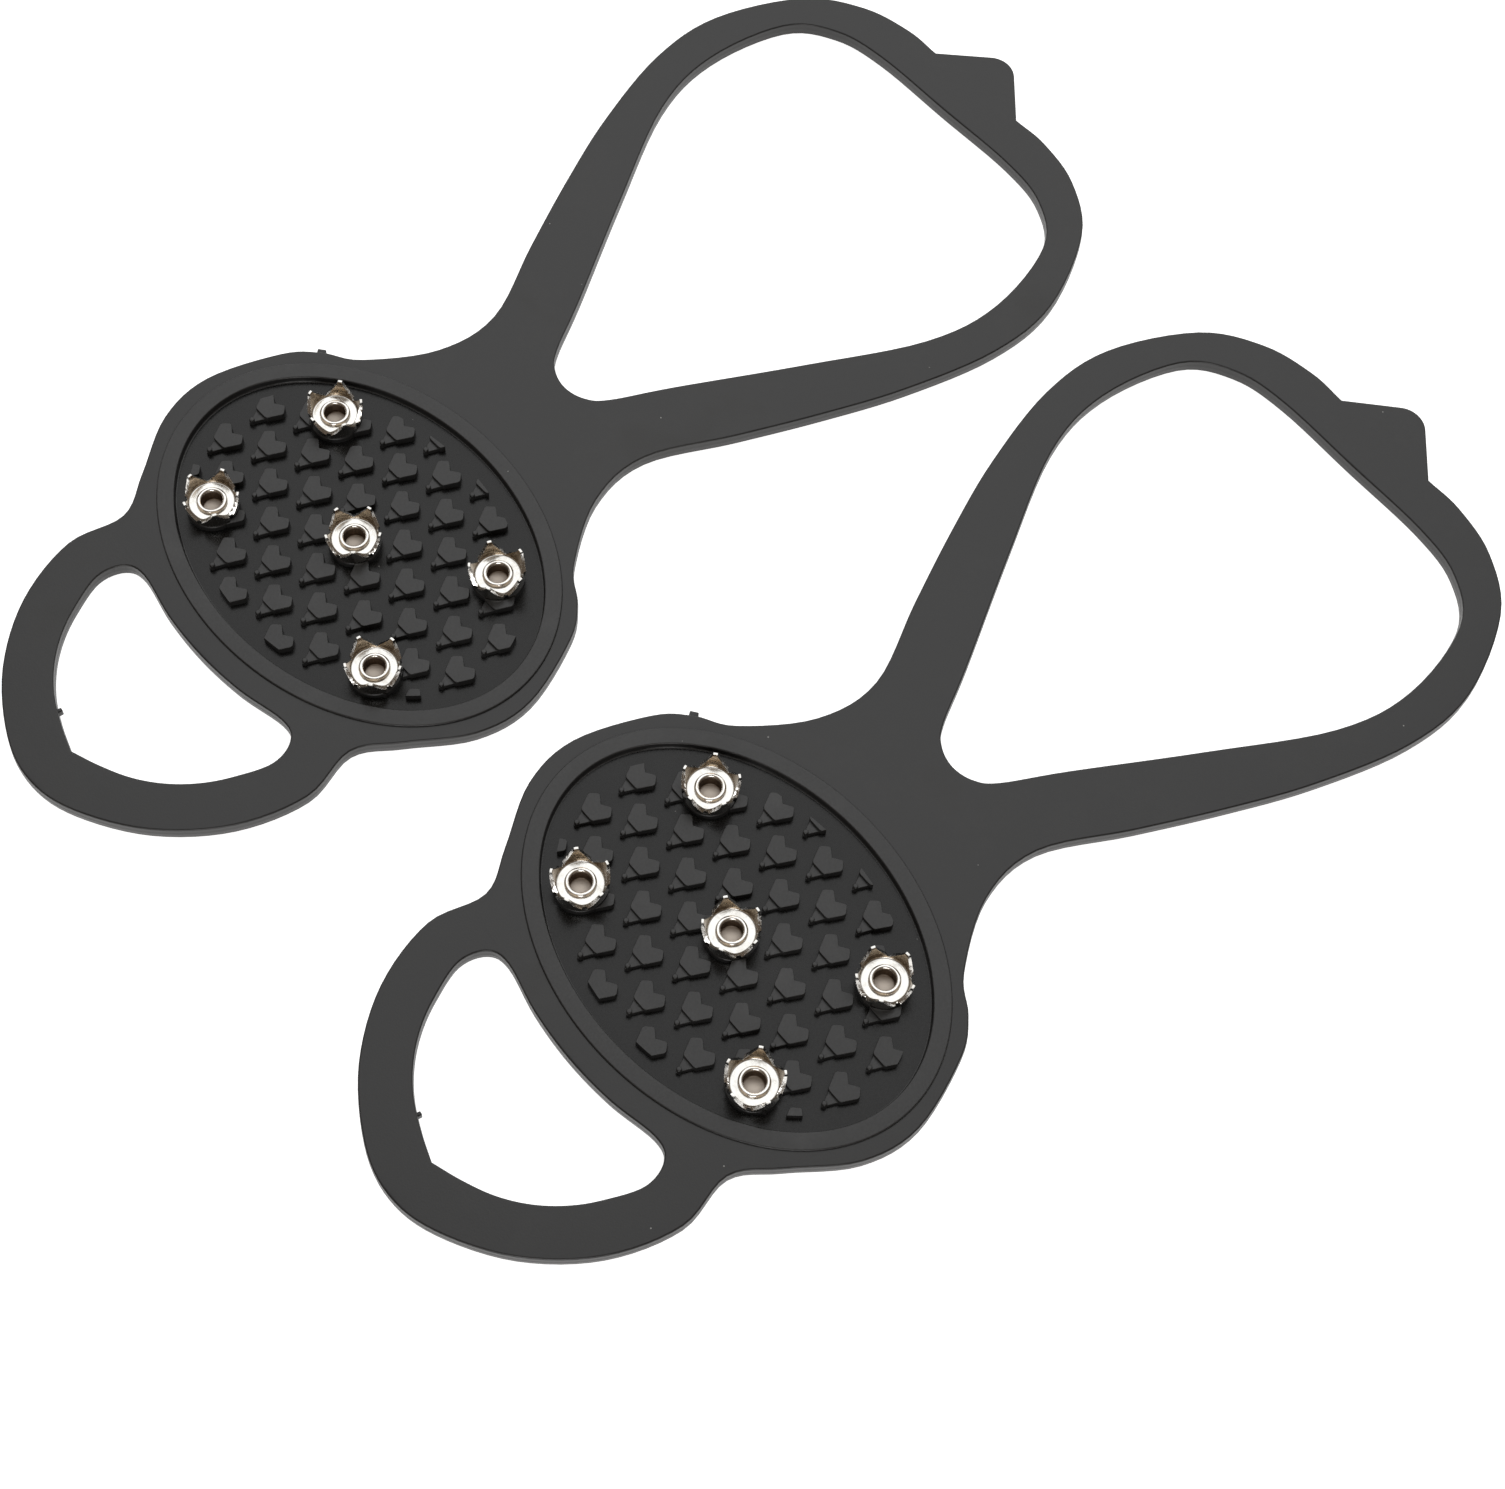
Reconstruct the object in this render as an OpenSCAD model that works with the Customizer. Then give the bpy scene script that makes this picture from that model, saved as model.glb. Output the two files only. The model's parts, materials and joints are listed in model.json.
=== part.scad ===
// Pair of pull-on ice cleats for shoes.
// Each cleat is one flat rubber moulding: a round pad for the ball of the foot, a loop
// that pulls over the toe cap and a longer loop that pulls up behind the heel. Five
// toothed steel crowns are riveted through the pad.
// The cleats lie flat with their studs up: +Y to the toes, +X to the right, +Z up.

/* [Pair] */
// Space left between the two cleats where they are widest
pair_gap = 5.4; // [3:0.1:60]
// How far the right cleat lies ahead of the left one
pair_stagger = 1; // [0:0.1:30]
// Turn of each cleat, toes inward
splay = 1.6; // [0:0.1:2]

/* [Rubber] */
// Thickness of the loops and of the pad's flange
rubber_t = 3; // [2.4:0.1:4.5]
// Thickness of the pad's sunken floor, inside its rim
floor_t = 2; // [1.6:0.1:3]

/* [Pad] */
// Width of the pad
pad_w = 92.5; // [76:0.5:112]
// Length of the pad
pad_l = 70; // [58:0.5:84]
// Width of the flat flange outside the rim
flange_w = 3; // [2:0.1:5]
// Width of the raised rim round the floor
rim_w = 3.3; // [2:0.1:5]
// Height of the rim above the flange
rim_h = 0.4; // [0.2:0.1:1]
// Bare floor between the rim and the tread
tread_margin = 3.2; // [2:0.1:6]

/* [Toe loop] */
// Width of the waist between the pad and the toe loop
notch_w = 65.2; // [54:0.5:68]
// Width of the toe loop
toe_w = 69; // [60:0.5:82]
// Distance from the pad's centre to the tip of the toe loop
toe_tip = 73; // [66:0.5:87]
// Width of the toe loop's band at its sides
toe_band = 9.2; // [6:0.1:12]
// Width of the toe loop's band at its tip
toe_tip_band = 8.9; // [6:0.1:12]

/* [Heel loop] */
// Width of the neck behind the pad
neck_w = 43; // [35:0.5:52]
// Width of the heel loop
heel_w = 98; // [82:0.5:118]
// Distance from the pad's centre to the back of the heel loop
heel_end = 162.8; // [136:0.1:195]
// Width of the heel loop's band at its sides
heel_band = 8; // [6:0.1:11]
// Width of the heel loop's band at its back
heel_back_band = 9.3; // [6:0.1:12]
// Width of the pull tab at its root
tab_w = 23.2; // [16:0.1:30]
// Length of the pull tab
tab_l = 9.2; // [6:0.1:16]
// Radius of the pull tab's end
tab_r = 4.8; // [3:0.1:6]

/* [Tread] */
// Space between rows of hearts, side to side
heart_row = 6.65; // [6.5:0.05:8]
// Space between hearts, toe to heel
heart_pitch = 10; // [8:0.1:12]
// Height of a heart above the floor
heart_h = 1.5; // [0.8:0.1:2]
// Height of the heart's lower tail above the floor
tail_h = 0.9; // [0.4:0.1:1.4]
// Radius of the pin at the heart's tip
pin_r = 0.5; // [0.3:0.05:0.8]

/* [Studs] */
// Distance of the outer studs from the centre one, side to side
stud_x = 23.3; // [19:0.1:27]
// Distance of the outer studs from the centre one, toe to heel
stud_y = 14.5; // [12:0.1:17]
// Reach of the rubber boss past the crown that sits on it
boss_edge = 0.1; // [0:0.05:1]
// Height of the boss above the pad's floor
boss_h = 1.2; // [0.6:0.1:2]
// Number of teeth on a crown
teeth = 5; // [4:1:6]
// Radius of a crown, outside its teeth
crown_r = 5.4; // [4.6:0.1:6.5]
// Thickness of the crown's steel
crown_t = 1.2; // [0.9:0.05:1.5]
// Thickness of a tooth
tooth_t = 0.9; // [0.7:0.05:1.1]
// Height of the teeth above the crown's floor
tooth_h = 3.5; // [2.5:0.1:5]
// Width of a tooth at its root
tooth_w = 4.8; // [3:0.1:5.4]
// Width of a tooth at its tip
tip_w = 0.8; // [0.5:0.1:1.4]
// Radius of the rivet's shank
shank_r = 2.4; // [1.8:0.1:2.8]
// Wall of the rivet's hollow end
rivet_wall = 0.45; // [0.3:0.05:0.6]
// Depth of the rivet's hollow, from its rolled edge
hollow_depth = 3.3; // [2:0.1:3.8]
// Radius of the rivet's flat head, under the pad
head_r = 4.5; // [3.4:0.1:5.2]
// Thickness of the rivet's head
head_t = 0.8; // [0.5:0.1:1]

/* [Bending lines] */
// Distance from the pad's centre to the bending line of the toe loop
toe_bend = 38; // [37:0.5:44]
// Distance from the pad's centre to the bending line of the heel loop
heel_bend = 46; // [42:0.5:49]
// Clearance across a bending line
bend_gap = 0.3; // [0.2:0.05:0.5]

/* [Hidden] */
eps = 0.01;
$fn = 48;
curve_steps = 4;        // straight pieces between two stations of an outline
tab_steps = 5;          // straight pieces round half the end of the tab
oval_sides = 72;
hole_fit = 0.05;        // clearance of the shank in its holes
head_fit = 0.1;         // clearance of the head in its pocket
tread_fit = 0.2;        // clearance between a boss and the hearts
pad_shift = -0.8;       // the pad's oval sits a little behind its centre stud
big = 400;

knuckle_r = rubber_t / 2;
boss_r = crown_r + boss_edge;
boss_top = floor_t + boss_h;
crown_top = boss_top + crown_t;
rivet_top = crown_top + 2 * rivet_wall;
pair_spacing = max(heel_w, pad_w) + pair_gap;
origin_y = (heel_end + tab_l - toe_tip) / 2 * cos(splay);

// Stud places on the pad, and how far each crown is turned on the left and right cleat
stud_names = ["centre", "front_left", "front_right", "rear_left", "rear_right"];
stud_places = [[0, 0], [-stud_x, stud_y], [stud_x, stud_y], [-stud_x, -stud_y], [stud_x, -stud_y]];
crown_turns = [[28, 3, 24, 39, 5], [51, 45, 61, 30, 1]];
sides = ["left", "right"];
studs = [0:len(stud_names) - 1];

// ---- outlines ----

// A half outline runs from the toe to the heel on one side. The other side mirrors it.
function mirrored(p) = [-p.x, p.y];

function both_sides(half) =
    concat(half, [for (i = [len(half) - 2:-1:1]) mirrored(half[i])]);

function spline(p0, p1, p2, p3, t) =
    (2 * p1 + (p2 - p0) * t
     + (2 * p0 - 5 * p1 + 4 * p2 - p3) * t * t
     + (3 * p1 - p0 - 3 * p2 + p3) * t * t * t) / 2;

// A curve through the stations of a half outline. Its ends run on smoothly into the
// other side, unless they are corners.
function smooth(p, first_is_corner = false, last_is_corner = false) =
    let (
        n = len(p),
        before = first_is_corner ? 2 * p[0] - p[1] : mirrored(p[1]),
        after = last_is_corner ? 2 * p[n - 1] - p[n - 2] : mirrored(p[n - 2]),
        q = concat([before], p, [after])
    )
    concat(
        [for (i = [1:n - 1], k = [0:curve_steps - 1])
            spline(q[i - 1], q[i], q[i + 1], q[i + 2], k / curve_steps)],
        [p[n - 1]]);

function oval(half) =
    [for (i = [0:oval_sides - 1])
        [half.x * cos(360 * i / oval_sides), pad_shift + half.y * sin(360 * i / oval_sides)]];

// The pad's ovals, each half as wide and half as long as it is
rim_oval = [pad_w / 2 - flange_w, pad_l / 2 - flange_w];
floor_oval = rim_oval - [rim_w, rim_w];
tread_oval = floor_oval - [tread_margin, tread_margin];

// Reach of each loop beyond its bending line, and of the heel loop's widest place
toe_reach = toe_tip - toe_bend;
heel_reach = heel_end - heel_bend;
heel_wide = heel_end - 35.8;
tab_y = -heel_end - tab_l;

outer_half = [
    [0, toe_tip],
    [0.14 * toe_w, toe_tip - 0.065 * toe_reach],
    [0.31 * toe_w, toe_tip - 0.28 * toe_reach],
    [0.44 * toe_w, toe_tip - 0.6 * toe_reach],
    [toe_w / 2, toe_bend + 1],
    [notch_w / 2, 0.4 * pad_l],
    [0.404 * pad_w, 0.286 * pad_l],
    [0.482 * pad_w, 0.13 * pad_l],
    [pad_w / 2, -0.03 * pad_l],
    [0.448 * pad_w, -0.229 * pad_l],
    [0.396 * pad_w, -0.314 * pad_l],
    [0.328 * pad_w, -0.381 * pad_l],
    [0.525 * neck_w, -heel_bend + 7],
    [0.5 * neck_w, -heel_bend - 6],
    [0.3 * heel_w, -heel_bend - 0.19 * heel_reach],
    [0.375 * heel_w, -heel_bend - 0.325 * heel_reach],
    [0.442 * heel_w, -heel_bend - 0.463 * heel_reach],
    [0.495 * heel_w, -heel_wide + 8],
    [0.492 * heel_w, -heel_wide - 8],
    [0.412 * heel_w, -heel_end + 10.8],
    [0.307 * heel_w, -heel_end + 2.8],
    [tab_w / 2 + 8, -heel_end],
    [tab_w / 2, -heel_end]
];

// The tab stands on the loop's back: straight sides that run into a round end
tab_centre = [0, tab_y + tab_r];
tab_foot = [tab_w / 2, -heel_end] - tab_centre;
tab_start = atan2(tab_foot.y, tab_foot.x) - acos(tab_r / norm(tab_foot));
tab_half = [
    for (i = [0:tab_steps])
        let (a = tab_start + (-90 - tab_start) * i / tab_steps)
        tab_centre + tab_r * [cos(a), sin(a)]
];

// Half widths of the two holes, inside the bands
toe_hole_w = toe_w / 2 - toe_band;
heel_hole_w = heel_w / 2 - heel_band;

toe_hole_half = [
    [0, toe_tip - toe_tip_band],
    [0.22 * toe_hole_w, toe_tip - toe_tip_band - 0.057 * toe_reach],
    [0.437 * toe_hole_w, toe_tip - toe_tip_band - 0.132 * toe_reach],
    [0.627 * toe_hole_w, toe_tip - toe_tip_band - 0.235 * toe_reach],
    [0.783 * toe_hole_w, toe_tip - toe_tip_band - 0.363 * toe_reach],
    [0.901 * toe_hole_w, toe_tip - toe_tip_band - 0.511 * toe_reach],
    [toe_hole_w, toe_bend + 1.4],
    [toe_hole_w - 1.4, toe_bend - 3.6],
    [toe_hole_w - 5.5, toe_bend - 5],
    [0.4 * toe_hole_w, toe_bend - 3.1],
    [0, toe_bend - 2.4]
];

heel_hole_half = [
    [0, -heel_bend - 5.4],
    [0.105 * heel_hole_w, -heel_bend - 6.6],
    [0.185 * heel_hole_w, -heel_bend - 10],
    [0.33 * heel_hole_w, -heel_bend - 0.18 * heel_reach],
    [0.64 * heel_hole_w, -heel_bend - 0.369 * heel_reach],
    [0.925 * heel_hole_w, -heel_bend - 0.555 * heel_reach],
    [heel_hole_w, -heel_wide],
    [0.91 * heel_hole_w, -heel_end + 18.8],
    [0.71 * heel_hole_w, -heel_end + heel_back_band + 2.3],
    [0.44 * heel_hole_w, -heel_end + heel_back_band],
    [0, -heel_end + heel_back_band]
];

// ---- rubber ----

// The whole moulding before it is divided, as one flat sheet with its two holes
module rubber_sheet() {
    linear_extrude(rubber_t)
        difference() {
            polygon(both_sides(concat(smooth(outer_half, last_is_corner = true), tab_half)));
            polygon(both_sides(smooth(toe_hole_half, first_is_corner = true)));
            polygon(both_sides(smooth(heel_hole_half)));
        }
}

// The part of the sheet with y between two values
module sheet_between(y0, y1) {
    intersection() {
        rubber_sheet();
        translate([-big / 2, y0, -1]) cube([big, y1 - y0, rubber_t + 2]);
    }
}

// A loop ends in a half-round knuckle that turns about its bending line
module knuckle(y) {
    intersection() {
        rubber_sheet();
        translate([-big / 2, y, knuckle_r]) rotate([0, 90, 0]) cylinder(r = knuckle_r, h = big);
    }
}

// One tread block: a heart with a lower tail and a pin at its tip, pointing to the toe
module heart() {
    half_w = 3.15;
    lobe_x = 1.75;
    step_y = -2.05;
    shoulder_y = -5.1;
    tip_y = 0.9;
    step_x = half_w * (tip_y - step_y) / (tip_y - shoulder_y);
    linear_extrude(heart_h)
        polygon([[step_x, step_y], [half_w, shoulder_y], [lobe_x, -6.6], [0, -5.35],
                 [-lobe_x, -6.6], [-half_w, shoulder_y], [-step_x, step_y]]);
    linear_extrude(tail_h) polygon([[-step_x, step_y - eps], [step_x, step_y - eps], [0, tip_y]]);
    cylinder(r = pin_r, h = heart_h);
}

// Rows of hearts, every second row set back by half a pitch, inside an oval
module tread() {
    rows = ceil(tread_oval.x / heart_row);
    columns = ceil(tread_oval.y / heart_pitch) + 1;
    translate([0, 0, floor_t - eps])
        intersection() {
            for (row = [-rows:rows], column = [-columns:columns])
                translate([row * heart_row, (column + (row % 2 == 0 ? 0.25 : -0.25)) * heart_pitch, 0])
                    heart();
            linear_extrude(heart_h + eps) polygon(oval(tread_oval));
        }
}

module sole() {
    color("dimgray")
    difference() {
        union() {
            difference() {
                union() {
                    sheet_between(-heel_bend + knuckle_r + bend_gap, toe_bend - knuckle_r - bend_gap);
                    translate([0, 0, floor_t])
                        linear_extrude(rubber_t - floor_t + rim_h) polygon(oval(rim_oval));
                }
                translate([0, 0, floor_t]) linear_extrude(rubber_t) polygon(oval(floor_oval));
            }
            difference() {
                tread();
                for (place = stud_places)
                    translate([place.x, place.y, floor_t - 1])
                        cylinder(r = boss_r + tread_fit, h = heart_h + 2);
            }
            for (place = stud_places)
                translate([place.x, place.y, floor_t - eps]) cylinder(r = boss_r, h = boss_h + eps);
        }
        for (place = stud_places)
            translate([place.x, place.y, 0]) {
                translate([0, 0, -1]) cylinder(r = shank_r + hole_fit, h = boss_top + 2);
                translate([0, 0, -1]) cylinder(r = head_r + head_fit, h = head_t + 1);
            }
    }
}

module toe_loop() {
    color("dimgray") {
        sheet_between(toe_bend, toe_tip + 1);
        knuckle(toe_bend);
    }
}

module heel_loop() {
    color("dimgray") {
        sheet_between(tab_y - 1, -heel_bend);
        knuckle(-heel_bend);
    }
}

// ---- studs ----

// A stamped disc whose edge is cut into teeth and bent upright
module crown(place, turn) {
    inner_r = crown_r - tooth_t;
    root = tooth_w / 2;
    tip = tip_w / 2;
    top = crown_t + tooth_h;
    color("gainsboro")
    translate([place.x, place.y, boss_top])
        difference() {
            union() {
                cylinder(r = inner_r + eps, h = crown_t);
                for (k = [0:teeth - 1])
                    rotate([0, 0, 90 + turn + k * 360 / teeth])
                        intersection() {
                            difference() {
                                cylinder(r = crown_r, h = top);
                                translate([0, 0, -1]) cylinder(r = inner_r, h = top + 2);
                            }
                            rotate([90, 0, 90])
                                linear_extrude(crown_r + 1)
                                    polygon([[-root, 0], [root, 0], [0.96 * root, crown_t],
                                             [0.5 * root, crown_t + 0.4 * tooth_h],
                                             [1.3 * tip, crown_t + 0.8 * tooth_h], [tip, top],
                                             [-tip, top], [-1.3 * tip, crown_t + 0.8 * tooth_h],
                                             [-0.5 * root, crown_t + 0.4 * tooth_h],
                                             [-0.96 * root, crown_t]]);
                        }
            }
            translate([0, 0, -1]) cylinder(r = shank_r + hole_fit, h = crown_t + 2);
        }
}

// A semi-tubular rivet: flat head under the pad, hollow end rolled over on the crown
module rivet(place) {
    roll_z = rivet_top - rivet_wall;
    color("silver")
    translate([place.x, place.y, 0])
        difference() {
            union() {
                cylinder(r = head_r, h = head_t);
                cylinder(r = shank_r, h = roll_z);
                translate([0, 0, roll_z])
                    rotate_extrude() translate([shank_r, 0]) circle(r = rivet_wall);
            }
            translate([0, 0, rivet_top - hollow_depth])
                cylinder(r = shank_r - rivet_wall, h = hollow_depth + 1);
        }
}

// ---- the pair ----

// Puts a cleat on its side of the pair: 0 is left, 1 is right
module on_side(s) {
    way = 2 * s - 1;
    translate([way * pair_spacing / 2, origin_y + way * pair_stagger / 2, 0])
        rotate([0, 0, way * splay])
            children();
}

for (s = [0:1]) {
    on_side(s) sole();
    on_side(s) toe_loop();
    on_side(s) heel_loop();
    for (i = studs) {
        on_side(s) crown(stud_places[i], crown_turns[s][i]);
        on_side(s) rivet(stud_places[i]);
    }
}
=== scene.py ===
# %% [markdown]
# # A pair of ice cleats for shoes
#
# Each cleat is one flat rubber moulding with five toothed steel crowns riveted through it.
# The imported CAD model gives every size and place, and this lesson makes the finish:
# moulded rubber with a parting line, rounded tread hearts, stamped crowns and rolled rivets.

# %% Load the frame
import json
import math
import bpy
from mathutils import Matrix, Vector


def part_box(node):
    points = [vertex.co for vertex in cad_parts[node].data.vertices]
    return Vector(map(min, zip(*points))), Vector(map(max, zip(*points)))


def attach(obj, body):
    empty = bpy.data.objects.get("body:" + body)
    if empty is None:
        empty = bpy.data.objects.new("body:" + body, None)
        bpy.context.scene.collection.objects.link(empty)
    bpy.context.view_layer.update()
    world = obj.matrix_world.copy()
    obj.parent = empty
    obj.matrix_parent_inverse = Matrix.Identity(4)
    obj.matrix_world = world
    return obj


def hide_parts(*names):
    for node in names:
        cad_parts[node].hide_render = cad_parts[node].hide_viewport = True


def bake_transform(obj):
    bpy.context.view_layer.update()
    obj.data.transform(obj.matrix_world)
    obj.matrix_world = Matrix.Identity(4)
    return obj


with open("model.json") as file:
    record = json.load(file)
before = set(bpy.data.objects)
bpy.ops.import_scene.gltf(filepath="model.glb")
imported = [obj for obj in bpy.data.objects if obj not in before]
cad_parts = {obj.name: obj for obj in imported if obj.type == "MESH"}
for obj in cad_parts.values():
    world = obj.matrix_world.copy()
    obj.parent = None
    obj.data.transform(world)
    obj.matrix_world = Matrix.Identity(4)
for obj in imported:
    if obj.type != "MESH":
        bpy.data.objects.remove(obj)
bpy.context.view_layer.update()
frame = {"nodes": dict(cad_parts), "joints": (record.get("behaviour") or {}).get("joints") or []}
MM = 0.001
SIDES = ["left", "right"]
STUDS = ["centre", "front_left", "front_right", "rear_left", "rear_right"]

# %% [markdown]
# ## The cleat's own axes
#
# The two cleats lie side by side, each turned a little. It is easiest to model a cleat once,
# straight and centred on its middle stud, and to place copies of it at the end. The middle
# rivet's box gives the centre, and the heel loop's hinge axis gives the turn.

# %% Find where each cleat lies
def joint_named(name):
    return [j for j in frame["joints"] if j["name"] == name][0]


def stud_centre(side, stud):
    low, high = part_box(f"{side}_rivet_{stud}")
    return Vector(((low.x + high.x) / 2, (low.y + high.y) / 2, 0))


placing = {}
for side in SIDES:
    axis = joint_named(f"{side}_heel_loop_bend")["axis"]
    turn = math.atan2(axis[1], axis[0])
    placing[side] = Matrix.Translation(stud_centre(side, "centre")) @ Matrix.Rotation(turn, 4, "Z")
    print(side, "cleat turned by", round(math.degrees(turn), 2), "degrees")

# %% [markdown]
# ## Sizes read from the frame
#
# A CAD node's vertices, seen in the cleat's own axes, give the lengths that everything else
# is worked out from: the pad, the loops, the bending lines and the stud places.

# %% Measure the left cleat in its own axes
to_cleat = placing["left"].inverted()


def cleat_points(node):
    return [to_cleat @ v.co for v in frame["nodes"][node].data.vertices]


def reach(node, axis, far):
    values = [p[axis] for p in cleat_points(node)]
    return max(values) if far else min(values)


pad_w = 2 * reach("left_sole", 0, True)
pad_l = 70 * MM
toe_tip = reach("left_toe_loop", 1, True)
toe_w = 2 * reach("left_toe_loop", 0, True)
heel_w = 98 * MM
tab_y = reach("left_heel_loop", 1, False)
toe_bend = (to_cleat @ Vector(joint_named("left_toe_loop_bend")["pos_m"])).y
heel_bend = -(to_cleat @ Vector(joint_named("left_heel_loop_bend")["pos_m"])).y
rubber_t = reach("left_toe_loop", 2, True)
crown_low, crown_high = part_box("left_crown_centre")
boss_top = crown_low.z
tooth_top = crown_high.z
rivet_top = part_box("left_rivet_centre")[1].z
stud_places = [to_cleat @ stud_centre("left", stud) for stud in STUDS]
print("pad width", round(pad_w / MM, 2), "toe tip", round(toe_tip / MM, 2), "tab", round(tab_y / MM, 2))
print("toe width", round(toe_w / MM, 2), "heel width", round(heel_w / MM, 2))
print("heights: boss", boss_top / MM, "teeth", tooth_top / MM, "rivet", rivet_top / MM)

# %% [markdown]
# ## Small helpers
#
# Operators act on whatever is selected, so each step begins by choosing one object alone.
# In edit mode, vertices and faces are picked in code by their place or their normal.

# %% Helpers for choosing and shaping
SMOOTH_ANGLE = math.radians(50)
NEAR = 0.01 * MM


def choose(obj):
    bpy.ops.object.select_all(action="DESELECT")
    obj.select_set(True)
    bpy.context.view_layer.objects.active = obj


def take_new(name):
    obj = bpy.context.object
    obj.name = name
    obj.data.name = name
    return obj


def pick_faces(obj, wanted):
    """Selects the faces that wanted(centre, normal) accepts, and enters edit mode."""
    choose(obj)
    bpy.ops.object.mode_set(mode="EDIT")
    bpy.ops.mesh.select_mode(type="FACE")
    bpy.ops.mesh.select_all(action="DESELECT")
    bpy.ops.object.mode_set(mode="OBJECT")
    for face in obj.data.polygons:
        face.select = wanted(face.center, face.normal)
    bpy.ops.object.mode_set(mode="EDIT")


def pick_edges(obj, wanted):
    """Selects the edges whose two ends wanted(point) accepts, and enters edit mode."""
    choose(obj)
    bpy.ops.object.mode_set(mode="EDIT")
    bpy.ops.mesh.select_mode(type="EDGE")
    bpy.ops.mesh.select_all(action="DESELECT")
    bpy.ops.object.mode_set(mode="OBJECT")
    points = obj.data.vertices
    for edge in obj.data.edges:
        edge.select = all(wanted(points[v].co) for v in edge.vertices)
    bpy.ops.object.mode_set(mode="EDIT")


def leave_edit():
    bpy.ops.object.mode_set(mode="OBJECT")


def add_modifier(obj, kind, **settings):
    """Adds a modifier with these settings and applies it at once."""
    choose(obj)
    modifier = obj.modifiers.new(kind.lower(), kind)
    for key, value in settings.items():
        setattr(modifier, key, value)
    bpy.ops.object.modifier_apply(modifier=modifier.name)


def boolean(obj, other, operation):
    """Joins, cuts or clips obj by other, which is then removed."""
    add_modifier(obj, "BOOLEAN", object=other, operation=operation, solver="EXACT")
    bpy.data.objects.remove(other)


def clean(obj, distance=0.002 * MM):
    """Merges doubles and turns every face outwards."""
    choose(obj)
    bpy.ops.object.mode_set(mode="EDIT")
    bpy.ops.mesh.select_all(action="SELECT")
    bpy.ops.mesh.remove_doubles(threshold=distance)
    bpy.ops.mesh.delete_loose()
    bpy.ops.mesh.select_all(action="SELECT")
    bpy.ops.mesh.normals_make_consistent(inside=False)
    leave_edit()


def finish_normals(obj):
    """Shades smoothly, but lets the large flat faces stay flat."""
    choose(obj)
    bpy.ops.object.shade_smooth_by_angle(angle=SMOOTH_ANGLE)
    add_modifier(obj, "WEIGHTED_NORMAL", weight=100, keep_sharp=True)


def report(obj):
    print(obj.name, "has", len(obj.data.polygons), "faces")

# %% [markdown]
# ## Drawing an outline
#
# The moulding's outline is a soft closed curve. On the bench a designer would mark a few
# stations on one half, pull a smooth curve through them and mirror it. Drawn Bezier handles
# would do, but a formula is surer: between two stations it gives a few points of an even
# curve, and a half's end is either a corner or runs on smoothly into the mirror image.

# %% Outline stations of one half, toe to heel
heel_end = -tab_y - 9.2 * MM
neck_w = 43 * MM
notch_w = 65.2 * MM
tab_w = 23.2 * MM
tab_r = 4.8 * MM
toe_reach = toe_tip - toe_bend
heel_reach = heel_end - heel_bend
heel_wide = heel_end - 35.8 * MM
toe_hole_w = toe_w / 2 - 9.2 * MM
heel_hole_w = heel_w / 2 - 8 * MM
toe_hole_end = toe_tip - 8.9 * MM
heel_hole_end = -heel_end + 9.3 * MM

outer_half = [
    (0, toe_tip),
    (0.14 * toe_w, toe_tip - 0.065 * toe_reach),
    (0.31 * toe_w, toe_tip - 0.28 * toe_reach),
    (0.44 * toe_w, toe_tip - 0.6 * toe_reach),
    (0.5 * toe_w, toe_bend + 1 * MM),
    (0.5 * notch_w, 0.4 * pad_l),
    (0.404 * pad_w, 0.286 * pad_l),
    (0.482 * pad_w, 0.13 * pad_l),
    (0.5 * pad_w, -0.03 * pad_l),
    (0.448 * pad_w, -0.229 * pad_l),
    (0.396 * pad_w, -0.314 * pad_l),
    (0.328 * pad_w, -0.381 * pad_l),
    (0.525 * neck_w, -heel_bend + 7 * MM),
    (0.5 * neck_w, -heel_bend - 6 * MM),
    (0.3 * heel_w, -heel_bend - 0.19 * heel_reach),
    (0.375 * heel_w, -heel_bend - 0.325 * heel_reach),
    (0.442 * heel_w, -heel_bend - 0.463 * heel_reach),
    (0.495 * heel_w, -heel_wide + 8 * MM),
    (0.492 * heel_w, -heel_wide - 8 * MM),
    (0.412 * heel_w, -heel_end + 10.8 * MM),
    (0.307 * heel_w, -heel_end + 2.8 * MM),
    (0.5 * tab_w + 8 * MM, -heel_end),
    (0.5 * tab_w, -heel_end),
]
toe_hole_half = [
    (0, toe_hole_end),
    (0.22 * toe_hole_w, toe_hole_end - 0.057 * toe_reach),
    (0.437 * toe_hole_w, toe_hole_end - 0.132 * toe_reach),
    (0.627 * toe_hole_w, toe_hole_end - 0.235 * toe_reach),
    (0.783 * toe_hole_w, toe_hole_end - 0.363 * toe_reach),
    (0.901 * toe_hole_w, toe_hole_end - 0.511 * toe_reach),
    (toe_hole_w, toe_bend + 1.4 * MM),
    (toe_hole_w - 1.4 * MM, toe_bend - 3.6 * MM),
    (toe_hole_w - 5.5 * MM, toe_bend - 5 * MM),
    (0.4 * toe_hole_w, toe_bend - 3.1 * MM),
    (0, toe_bend - 2.4 * MM),
]
heel_hole_half = [
    (0, -heel_bend - 5.4 * MM),
    (0.105 * heel_hole_w, -heel_bend - 6.6 * MM),
    (0.185 * heel_hole_w, -heel_bend - 10 * MM),
    (0.33 * heel_hole_w, -heel_bend - 0.18 * heel_reach),
    (0.64 * heel_hole_w, -heel_bend - 0.369 * heel_reach),
    (0.925 * heel_hole_w, -heel_bend - 0.555 * heel_reach),
    (heel_hole_w, -heel_wide),
    (0.91 * heel_hole_w, -heel_end + 18.8 * MM),
    (0.71 * heel_hole_w, heel_hole_end + 2.3 * MM),
    (0.44 * heel_hole_w, heel_hole_end),
    (0, heel_hole_end),
]


# %% Curves through the stations
CURVE_STEPS = 6
TAB_STEPS = 8


def mirrored(point):
    return Vector((-point.x, point.y))


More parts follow.
